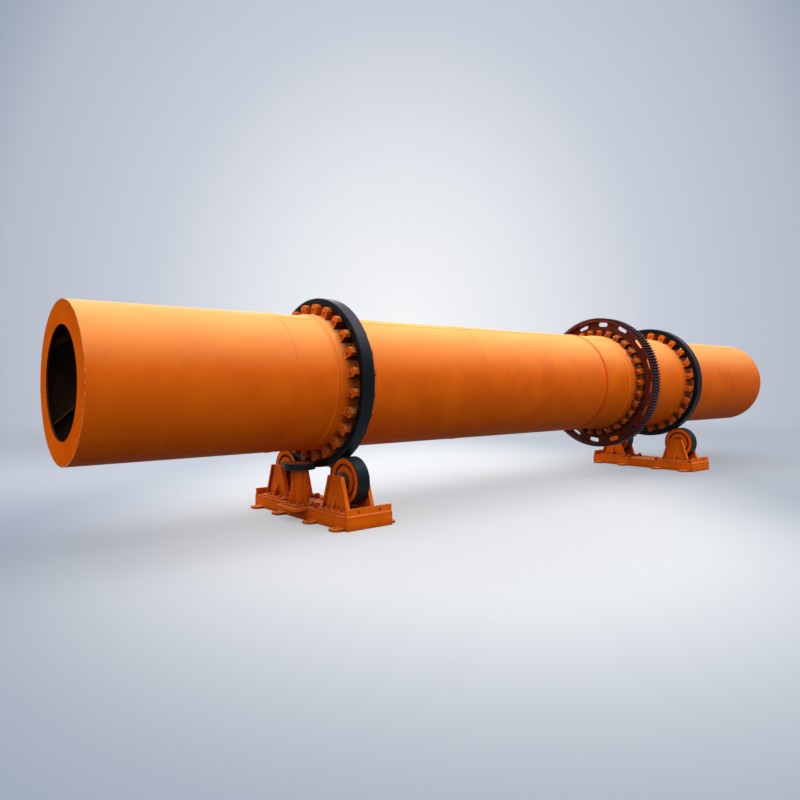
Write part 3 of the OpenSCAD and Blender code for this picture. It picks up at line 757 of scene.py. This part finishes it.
def hex_head(name, across, height, z=0.0):
    """Six-sided head on the XY plane with its top corners chamfered."""
    head = cylinder(name, 6, across / math.sqrt(3), z, z + height)
    return bevel_top(head, z + height, across * 0.07)


def stud_end(name, size, low, high):
    """End of a stud that stands out of a nut, its tip chamfered."""
    return bevel_top(cylinder(name, 12, size / 2, low, high), high, size * 0.11)


def bolt(name, size):
    """Washer and hex head for a bolt of this thread size, on the XY plane."""
    thick = size * WASHER_T
    washer = bevel_top(cylinder(name + "_washer", 20, size * 0.92, 0.0, thick), thick, thick * 0.35)
    made = join(name, [washer, hex_head(name + "_head", size * 1.5, size * HEAD_H, thick)])
    face_outwards(made)
    return made


def round_drum(x, radius, count):
    """Places round the drum's axis at x, +Z of each pointing away from the axis,
    the top of the drum halfway between two of them."""
    return [
        at(x, 0, AXIS_Z) @ turned(180 / count + i * 360 / count, "X") @ at(0, 0, radius)
        for i in range(count)
    ]


# +Z of a bolt turned to lie along the drum
TO_INLET = turned(-90, "Y")
TO_OUTLET = turned(90, "Y")


def nuts_and_studs(name, size, stick_out, places, body):
    """Painted washers and nuts in every place, with bare stud ends in them."""
    nuts = set_out(name + "_nuts", bolt(name + "_pattern", size), places)
    top = size * (WASHER_T + HEAD_H)
    stud = stud_end(name + "_stud", size, top - BITE, top + stick_out)
    studs = set_out(name + "_studs", stud, places)
    deliver_machined(nuts, body, fastener_enamel)
    deliver_machined(studs, body, bolt_steel)


# Heights of the bolt circles over the plate or ring that they belong to
STOP_BOLT_UP, BRACKET_BOLT_UP = 0.051, 0.006
# The gear's web, and the gap it keeps from its brackets
WEB_T, WEB_GAP = 0.030, 0.0003

for station in STATIONS:
    low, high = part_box(station + "_stop_blocks")
    bolt_r = ring_radius(station + "_tyre_wrapper") + STOP_BOLT_UP
    places = [
        place @ facing
        for x, facing in ((low.x, TO_INLET), (high.x, TO_OUTLET))
        for place in round_drum(x, bolt_r, PAD_COUNT)
    ]
    nuts_and_studs(station + "_stop", 0.0155, 0.006, places, "drum")

gear_low, gear_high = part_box("gear_brackets")
bolt_r = (ring_radius("gear_brackets") + ring_radius("gear_wrapper")) / 2 + BRACKET_BOLT_UP
places = [place @ TO_INLET for place in round_drum(gear_low.x, bolt_r, BRACKET_COUNT)]
nuts_and_studs("gear_bracket", 0.022, 0.012, places, "drum")
web_far_x = gear_high.x + WEB_GAP + WEB_T
places = [place @ TO_OUTLET for place in round_drum(web_far_x, bolt_r, BRACKET_COUNT)]
web_bolts = set_out("gear_web_bolts", bolt("web_bolt", 0.022), places)
deliver_machined(web_bolts, "drum", bolt_steel)


# ------ weld beads ------

def trace(name, points):
    """Starts a piece as bare points and leaves it open in edit mode."""
    bpy.ops.mesh.primitive_plane_add(size=0.01, location=(0, 0, 0))
    bead = start(name)
    edit(bead, "VERT")
    pick_all()
    bpy.ops.mesh.delete(type="VERT")
    mesh = bmesh.from_edit_mesh(bead.data)
    return bead, mesh, [mesh.verts.new(point) for point in points]


def finish_bead(bead, waver, seed):
    """Gives the bead open in edit mode the waver of a hand, and closes it."""
    pick_all()
    bpy.ops.transform.vertex_random(offset=waver, uniform=0.0, normal=1.0, seed=seed)
    bpy.ops.mesh.normals_make_consistent(inside=False)
    close()
    smooth(bead, 60)
    return bead


def ring_bead(name, x, outline, seed):
    """A bead laid round the shell. outline is its cross-section as (along the
    drum, away from the shell) points; it is spun round the drum's axis."""
    points = [(x + along, 0, AXIS_Z + SHELL_R + out) for along, out in outline]
    bead, mesh, row = trace(name, points)
    for a, b in zip(row, row[1:]):
        mesh.edges.new((a, b))
    bmesh.update_edit_mesh(bead.data)
    pick_all()
    bpy.ops.mesh.spin(steps=180, angle=2 * math.pi, center=(x, 0, AXIS_Z), axis=(1, 0, 0))
    pick_all()
    bpy.ops.mesh.remove_doubles(threshold=0.00005)
    return finish_bead(bead, 0.0006, seed)


def straight_bead(name, length, outline, seed, pitch=0.012):
    """A bead laid along X from the origin, drawn out a short run at a time to
    keep the waver of a hand."""
    bead, mesh, row = trace(name, [(0, across, out) for across, out in outline])
    mesh.faces.new(row)
    bmesh.update_edit_mesh(bead.data)
    pick_all()
    runs = max(2, round(length / pitch))
    for _ in range(runs):
        bpy.ops.mesh.extrude_region_move(TRANSFORM_OT_translate={"value": (length / runs, 0, 0)})
    return finish_bead(bead, 0.0005, seed)


def crown(width, height):
    """Low arch of a butt weld, its feet just inside the plate."""
    half, shoulder = width / 2, height * 0.75
    return [(-half, -BITE), (-half * 0.7, shoulder), (0, height), (half * 0.7, shoulder),
            (half, -BITE)]


def fillet(width, height, side):
    """Corner weld against a plate edge of this height; side is the way it faces."""
    return [
        (-BITE * side, -BITE), (-0.004 * side, height), (width * 0.3 * side, height * 0.66),
        (width * 0.7 * side, height * 0.28), (width * side, -BITE),
    ]


def corner_bead(name, first, last, side_a, side_b, size, seed):
    """Fillet weld along the inner corner from first to last. The two sides point
    away from the corner, each along one of the plates."""
    first, last, side_a, side_b = (Vector(v) for v in (first, last, side_a, side_b))
    along = (last - first).normalized()
    if along.cross(side_a).dot(side_b) < 0:
        side_a, side_b = side_b, side_a
    root = -BITE / 2
    outline = [(root, root), (size, root), (size * 0.55, size * 0.55), (root, size)]
    bead = straight_bead(name, (last - first).length, outline, seed)
    bead.matrix_world = at(*first) @ Matrix((along, side_a, side_b)).transposed().to_4x4()
    settle(bead)
    return bead


# Butt welds between the shell's plate courses, at these distances from the inlet
COURSE_SEAMS = (1.613, 3.804, 5.892)
# Turn of each course's lengthwise seam from the top, towards -Y, and how far
# short of the course's ends it stops
SEAM_TURNS = (-60.0, 24.0, 21.0, 27.0)
SEAM_SHORT = 0.005

beads = [
    ring_bead("course_seam_%d" % i, INLET_X + x, crown(0.022, 0.004), 3 + i)
    for i, x in enumerate(COURSE_SEAMS[:2])
]
deliver(join("course_seams", beads), "drum", bead_enamel)
last_seam = ring_bead("gear_course_seam", INLET_X + COURSE_SEAMS[2], crown(0.040, 0.009), 9)
deliver(last_seam, "drum", seam_enamel)

ends = (0.0,) + COURSE_SEAMS + (OUTLET_X - INLET_X,)
beads = []
for i, turn in enumerate(SEAM_TURNS):
    length = ends[i + 1] - ends[i] - 2 * SEAM_SHORT
    seam = straight_bead("long_seam_%d" % i, length, crown(0.016, 0.003), 20 + i, pitch=0.03)
    foot = at(INLET_X + ends[i] + SEAM_SHORT, 0, AXIS_Z)
    seam.matrix_world = foot @ turned(turn, "X") @ at(0, 0, SHELL_R)
    settle(seam)
    beads.append(seam)
deliver(join("lengthwise_seams", beads), "drum", bead_enamel)

beads = []
for i, node_name in enumerate(("front_tyre_wrapper", "gear_wrapper", "rear_tyre_wrapper")):
    low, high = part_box(node_name)
    edge_h = ring_radius(node_name) - SHELL_R + 0.0005
    for x, side, mark, seed in ((low.x, -1, "a", 30), (high.x, 1, "b", 40)):
        outline = fillet(0.022, edge_h, side)
        beads.append(ring_bead("wrapper_weld_%d_%s" % (i, mark), x, outline, seed + i))
deliver(join("wrapper_edge_welds", beads), "drum", bead_enamel)


# ------ station hardware ------

UP = (0, 0, 1)
# Faces of a stand's upright plate, from the middle between the two stands of a
# roller; half the length of their welds; the gusset's reach out and up
STAND_IN, STAND_OUT, STAND_T = 0.1073, 0.1233, 0.016
INNER_WELD_HALF, OUTER_WELD_HALF = 0.190, 0.174
GUSSET_OUT, GUSSET_UP = 0.060, 0.125
# Foot bolts and adjusting screws, from the stand's upright plate outwards
FOOT_BOLT_OUT, FOOT_BOLT_ALONG = 0.036, 0.098
SCREW_OUT, SCREW_REACH, SCREW_GAP = 0.020, 0.064, 0.0015
SCREW_SIZE, SCREW_UP, SCREW_TAIL = 0.016, 0.0135, 0.022
DECK_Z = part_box("front_end_rails")[0].z
FOOT_TOP = DECK_Z + STAND_T
# End rails and floor lugs
RAIL_T, RAIL_WELD_SHORT = 0.020, 0.002
LUG_INSET, LUG_INNER_Y, LUG_WELD_HALF = 0.062, 0.264, 0.060
# Columns below the thrust rollers: tube, foot plate, ribs and their welds
COLUMN_R, COLUMN_FOOT_HALF, COLUMN_BOLT_INSET = 0.062, 0.115, 0.030
RIB_OUT, RIB_HALF_T, RIB_WELD_UP = 0.103, 0.008, 0.20
# How far a weld stops short of the end of a gusset or rib
WELD_SHORT = 0.004
# Hub cover of a thrust roller: disc, raised boss, screws, grease nipple
COVER_R, COVER_T, BOSS_INSET, BOSS_H = 0.060, 0.008, 0.022, 0.005
COVER_SCREW_R, COVER_SCREW_LOW = 0.049, 0.0075
NIPPLE_R, NIPPLE_LOW, NIPPLE_TOP = 0.005, 0.012, 0.022
BLOCK_WELD_HALF, BLOCK_WELD_DIP = 0.038, 0.0006


def stand_welds(name, middle):
    """Fillets where the plate and the gusset of both stands meet foot and plate."""
    made = []
    for side in (-1, 1):
        out_x = middle.x + side * STAND_OUT
        away = (side, 0, 0)
        for hand in (-1, 1):
            near_y = middle.y + hand * STAND_T / 2
            outward = (0, hand, 0)
            corner = (out_x, near_y, FOOT_TOP)
            runs = (
                ((out_x, middle.y + hand * OUTER_WELD_HALF, FOOT_TOP), away, UP),
                ((out_x + side * (GUSSET_OUT - WELD_SHORT), near_y, FOOT_TOP), outward, UP),
                ((out_x, near_y, FOOT_TOP + GUSSET_UP - 2 * WELD_SHORT), outward, away),
            )
            for i, run in enumerate(runs):
                title = "%s_bead_%d" % (name, len(made))
                made.append(corner_bead(title, corner, *run, 0.008, 50 + len(made) + i))
        in_x = middle.x + side * STAND_IN
        made.append(corner_bead(
            name + "_inner_bead", (in_x, middle.y - INNER_WELD_HALF, FOOT_TOP),
            (in_x, middle.y + INNER_WELD_HALF, FOOT_TOP), (-side, 0, 0), UP, 0.007, 70))
    return made


def jack(name, hand):
    """Adjusting screw that pushes a stand's foot along Y: a block on the deck,
    the screw through it, a lock nut and a hexagon head."""
    bpy.ops.mesh.primitive_cube_add(size=1.0, location=(0, 0, 0.021))
    block = start(name + "_block")
    block.scale = (0.052, 0.018, 0.042)
    settle(block)
    bevel_edges(block, lambda a, b: min(a.z, b.z) > 0.04 and abs(a.y - b.y) > 0.01, 0.012, 3)
    length = SCREW_REACH + SCREW_TAIL
    rod = cylinder(name + "_rod", 14, SCREW_SIZE / 2, 0.0, length)
    bevel_top(rod, length, SCREW_SIZE * 0.12)
    across = SCREW_SIZE * 1.5
    nut = hex_head(name + "_nut", across, SCREW_SIZE * 0.6, 0.032)
    head = hex_head(name + "_head", across, SCREW_SIZE * 0.65, -SCREW_SIZE * 0.65)
    screw = join(name + "_screw", [rod, nut, head])
    screw.matrix_world = at(0, -hand * SCREW_TAIL, SCREW_UP) @ turned(-90 * hand, "X")
    settle(screw)
    made = join(name, [block, screw])
    face_outwards(made)
    return made


for station in STATIONS:
    deck_low, deck_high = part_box(station + "_deck")
    welds, bolt_places, jacks = [], [], []
    for hand, which in ((1, "left"), (-1, "right")):
        stands = "%s_%s_stands" % (station, which)
        low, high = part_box(stands)
        middle = box_middle(stands)
        welds += stand_welds("%s_%s" % (station, which), middle)
        edge_y = middle.y - hand * (high.y - low.y) / 2
        for side in (-1, 1):
            bolt_x = middle.x + side * (STAND_OUT + FOOT_BOLT_OUT)
            for along in (-FOOT_BOLT_ALONG, FOOT_BOLT_ALONG):
                bolt_places.append(at(bolt_x, middle.y + along, FOOT_TOP))
            screw = jack("%s_%s_jack" % (station, which), hand)
            screw.matrix_world = at(middle.x + side * (STAND_OUT + SCREW_OUT),
                                    edge_y - hand * (SCREW_REACH + SCREW_GAP), DECK_Z)
            settle(screw)
            jacks.append(screw)
    low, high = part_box(station + "_end_rails")
    for hand in (-1, 1):
        for rail_y, outward in ((hand * high.y, hand), (hand * (high.y - RAIL_T), -hand)):
            welds.append(corner_bead(
                station + "_rail_bead", (low.x + RAIL_WELD_SHORT, rail_y, DECK_Z),
                (high.x - RAIL_WELD_SHORT, rail_y, DECK_Z), (0, outward, 0), UP, 0.007, 80 + hand))
    lug_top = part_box(station + "_anchor_lugs")[1]
    outer_y = lug_top.y - LUG_INSET
    for side, edge_x in ((-1, deck_low.x), (1, deck_high.x)):
        for lug_y in (-outer_y, -LUG_INNER_Y, LUG_INNER_Y, outer_y):
            welds.append(corner_bead(
                station + "_lug_bead", (edge_x, lug_y - LUG_WELD_HALF, lug_top.z),
                (edge_x, lug_y + LUG_WELD_HALF, lug_top.z), (side, 0, 0), UP, 0.008, 90))
    deliver(join(station + "_plate_welds", welds), "stations", frame_bead_enamel)
    jack_set = join(station + "_adjusting_screws", jacks)
    deliver_machined(jack_set, "stations", screw_enamel)
    foot_bolts = set_out(station + "_foot_bolts", bolt(station + "_foot_bolt", 0.020), bolt_places)
    deliver_machined(foot_bolts, "stations", fastener_enamel)

welds, places = [], []
for which in ENDS:
    centre = JOINT_AT[which + "_thrust_roller_spin"]
    for turn in range(4):
        way = Matrix.Rotation(math.radians(90 * turn), 3, "Z")
        foot = Vector((centre.x, 0, FOOT_TOP))
        for hand in (-1, 1):
            rib_side = way @ Vector((0, hand, 0))
            first = foot + way @ Vector((COLUMN_R - BITE, hand * RIB_HALF_T, 0))
            last = foot + way @ Vector((RIB_OUT - WELD_SHORT, hand * RIB_HALF_T, 0))
            top = first + Vector((0, 0, RIB_WELD_UP))
            welds.append(corner_bead("rib_bead", first, last, rib_side, UP, 0.007, 100 + turn))
            welds.append(corner_bead("rib_upright_bead", first, top, rib_side,
                                     way @ Vector((1, 0, 0)), 0.006, 110 + turn))
        reach = COLUMN_FOOT_HALF - COLUMN_BOLT_INSET
        corner = way @ Vector((reach, reach, 0))
        places.append(at(centre.x + corner.x, corner.y, FOOT_TOP))
deliver(join("column_welds", welds), "stations", frame_bead_enamel)
column_bolts = set_out("column_foot_bolts", bolt("column_bolt", 0.018), places)
deliver_machined(column_bolts, "stations", fastener_enamel)


def on_cover_rim(a, b):
    """Upper edges of the hub cover: of its boss, and of the disc's outer rim."""
    lower, inner = min(a.z, b.z) + BITE / 2, min(a.xy.length, b.xy.length)
    return lower > COVER_T + BOSS_H or (lower > COVER_T and inner > COVER_R - 0.005)


for which in ENDS:
    cover = cylinder(which + "_hub_plate", 48, COVER_R, 0.0, COVER_T)
    edit(cover)
    pick_faces(cover, lambda centre, normal: normal.z > 0.9)
    bpy.ops.mesh.inset(thickness=BOSS_INSET)
    bpy.ops.mesh.extrude_region_move(TRANSFORM_OT_translate={"value": (0, 0, BOSS_H)})
    bpy.ops.mesh.select_mode(type="EDGE")
    pick_edges(cover, on_cover_rim)
    bpy.ops.mesh.bevel(offset=0.0015, segments=2)
    close()
    screws = set_out(which + "_hub_screws", hex_head("hub_screw", 0.013, 0.006, COVER_SCREW_LOW),
                     [turned(60 * i, "Z") @ at(COVER_SCREW_R, 0, 0) for i in range(6)])
    nipple = cylinder(which + "_grease_nipple", 12, NIPPLE_R, NIPPLE_LOW, NIPPLE_TOP)
    bevel_top(nipple, NIPPLE_TOP, 0.002, 2)
    cap = join(which + "_hub_cover", [cover, screws, nipple])
    face_outwards(cap)
    middle = box_middle(which + "_thrust_hub")
    cap.matrix_world = at(middle.x, middle.y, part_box(which + "_thrust_hub")[1].z)
    settle(cap)
    deliver_machined(cap, which + "_thrust_roller", wheel_enamel)

# Fillets at the feet of the stop blocks, on the side away from the tyre
for station in STATIONS:
    low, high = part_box(station + "_stop_blocks")
    wrapper_r = ring_radius(station + "_tyre_wrapper")
    places = round_drum(low.x, wrapper_r, PAD_COUNT)
    places += [place @ turned(180, "Z") for place in round_drum(high.x, wrapper_r, PAD_COUNT)]
    pattern = corner_bead(
        "block_bead", (0, -BLOCK_WELD_HALF, -BLOCK_WELD_DIP), (0, BLOCK_WELD_HALF, -BLOCK_WELD_DIP),
        (-1, 0, 0), UP, 0.009, 7)
    fillets = set_out(station + "_stop_block_welds", pattern, places)
    deliver(fillets, "drum", bead_enamel)


# ------ studio ------

# Way the camera looks, level, from beside the inlet end
LOOK = (0.6454, 0.7638)
# Colours behind the object, by distance from the middle of the look
BACKDROP = (
    (0.0, (0.93, 0.94, 0.955)), (0.10, (0.77, 0.795, 0.84)), (0.18, (0.575, 0.615, 0.695)),
    (0.23, (0.51, 0.55, 0.635)), (0.262, (0.47, 0.51, 0.59)), (0.295, (0.34, 0.395, 0.505)),
    (0.50, (0.40, 0.445, 0.54)), (1.0, (0.50, 0.535, 0.60)),
)
# Floor paper with a painted pool of light: in the pool, at the pool's near and far rim, and beyond
POOL, NEAR_RIM, FAR_RIM = (0.55, 0.57, 0.595), (0.225, 0.265, 0.33), (0.35, 0.38, 0.43)
OUTER_PAPER = (0.31, 0.34, 0.39)


def aimed(name, data, place, look):
    """Hangs a camera or lamp at its place, turned to look that way."""
    thing = bpy.data.objects.new(name, data)
    bpy.context.scene.collection.objects.link(thing)
    thing.location = place
    thing.rotation_euler = look.to_track_quat("-Z", "Y").to_euler()
    return thing


def camera():
    """Level, beside the inlet end, at the height of the drum's axis."""
    data = bpy.data.cameras.new("camera")
    data.lens = 30.74
    data.sensor_width = 36.0
    data.shift_x = -0.0047
    data.shift_y = -0.023
    data.clip_end = 200.0
    place = (-6.3713, -5.2885, AXIS_Z + 0.0097)
    bpy.context.scene.camera = aimed("camera", data, place, Vector((*LOOK, 0.0)))


def lamp(name, place, target, size, power, colour):
    data = bpy.data.lights.new(name, "AREA")
    data.shape = "RECTANGLE"
    data.size, data.size_y = size
    data.energy = power
    data.color = colour
    aimed(name, data, place, Vector(target) - Vector(place)).visible_camera = False


def shown(tree):
    """1 for the rays that show the background: straight, mirrored or through glass."""
    path = put(tree, "ShaderNodeLightPath").outputs
    both = maths(tree, "MAXIMUM", path["Is Camera Ray"], path["Is Glossy Ray"])
    return maths(tree, "MAXIMUM", both, path["Is Transmission Ray"])


def mix_shaders(tree, share, first, second):
    made = put(tree, "ShaderNodeMixShader")
    for index, value in enumerate((share, first, second)):
        if isinstance(value, float):
            made.inputs[index].default_value = value
        else:
            wire(tree, value, made.inputs[index])
    return made.outputs[0]


def paint_backdrop(tree, direction):
    """The colours of the backdrop, laid out in flattened rings round the look."""
    off_centre = put(tree, "ShaderNodeVectorMath", operation="SUBTRACT", in_1=(*LOOK, 0.06))
    wire(tree, direction, off_centre.inputs[0])
    spread = length_of(tree, mapped(tree, off_centre.outputs[0], in_Scale=(1.0, 1.0, 0.82)))
    ramp = put(tree, "ShaderNodeValToRGB")
    wire(tree, times(tree, spread, 0.5), ramp.inputs[0])
    elements = ramp.color_ramp.elements
    for element, (position, colour) in zip(elements, (BACKDROP[0], BACKDROP[-1])):
        element.position = position
        element.color = opaque(colour)
    for position, colour in BACKDROP[1:-1]:
        elements.new(position).color = opaque(colour)
    return ramp.outputs[0]


def studio_world():
    world = bpy.data.worlds.new("studio")
    bpy.context.scene.world = world
    world.use_nodes = True
    tree = world.node_tree
    lit = tree.nodes["Background"]
    lit.inputs["Color"].default_value = (1.0, 1.0, 1.0, 1.0)
    direction = put(tree, "ShaderNodeTexCoord").outputs["Generated"]
    height = xyz(tree, direction)["Z"]
    sky = between(tree, height, 0.0, 0.6, 0.80, 1.30, smoothly=False)
    above_floor = between(tree, height, -0.08, 0.04, 0.04, 1.0)
    wire(tree, times(tree, sky, above_floor), lit.inputs["Strength"])
    seen = put(tree, "ShaderNodeBackground")
    wire(tree, paint_backdrop(tree, direction), seen.inputs["Color"])
    out = mix_shaders(tree, shown(tree), lit.outputs[0], seen.outputs[0])
    wire(tree, out, tree.nodes["World Output"].inputs["Surface"])


def paint_floor(tree, place):
    """The floor paper: a long painted pool of light that falls off faster on the near side."""
    spot = xyz(tree, mapped(
        tree, place, vector_type="TEXTURE", in_Location=(-2.117, -1.029, 0.0),
        in_Rotation=(0.0, 0.0, math.radians(49.8)), in_Scale=(9.0, 3.4, 1.0)))
    ahead = maths(tree, "MAXIMUM", spot["X"], times(tree, spot["X"], -2.15))
    squares = maths(tree, "POWER", ahead, 2.0), times(tree, spot["Y"], spot["Y"])
    reach = maths(tree, "SQRT", maths(tree, "ADD", *squares))
    rim = blend(tree, between(tree, spot["X"], -0.15, 0.35), NEAR_RIM, FAR_RIM)
    pool = blend(tree, between(tree, reach, 0.45, 1.2), POOL, rim)
    return blend(tree, between(tree, reach, 1.2, 2.3), pool, OUTER_PAPER)


def studio_floor():
    """Pale floor that takes the object's shadow and fades into the background."""
    bpy.ops.mesh.primitive_circle_add(
        vertices=96, radius=60.0, fill_type="NGON", location=(0, 0, -0.0005))
    floor = start("studio_floor")
    material = bpy.data.materials.new("floor_paper")
    material.use_nodes = True
    tree = material.node_tree
    tree.nodes.remove(tree.nodes["Principled BSDF"])
    place = own_place(tree)
    paper = paint_floor(tree, place)
    matt = put(tree, "ShaderNodeBsdfDiffuse")
    glow = put(tree, "ShaderNodeEmission", in_Strength=1.46)
    for shader in (matt, glow):
        wire(tree, paper, shader.inputs["Color"])
    pale = mix_shaders(tree, 0.38, matt.outputs[0], glow.outputs[0])
    dim = put(tree, "ShaderNodeBsdfDiffuse", in_Color=(0.07, 0.06, 0.05, 1.0))
    side = mix_shaders(tree, shown(tree), dim.outputs[0], pale)
    fade = between(tree, length_of(tree, place), 6.0, 18.0)
    clear = put(tree, "ShaderNodeBsdfTransparent")
    out = mix_shaders(tree, fade, side, clear.outputs[0])
    wire(tree, out, tree.nodes["Material Output"].inputs["Surface"])
    floor.data.materials.append(material)


clear_selection()
camera()
studio_world()
studio_floor()
lamp("overhead_softbox", (-1.5, -0.9, 8.0), (-0.5, 0.2, 1.0), (10.0, 2.5), 320.0, (1.0, 0.99, 0.96))
lamp("far_side_softbox", (-1.0, 6.5, 6.0), (-0.5, 0.0, 1.4), (12.0, 2.0), 300.0, (1.0, 0.99, 0.97))
bpy.context.scene.view_settings.view_transform = "Standard"
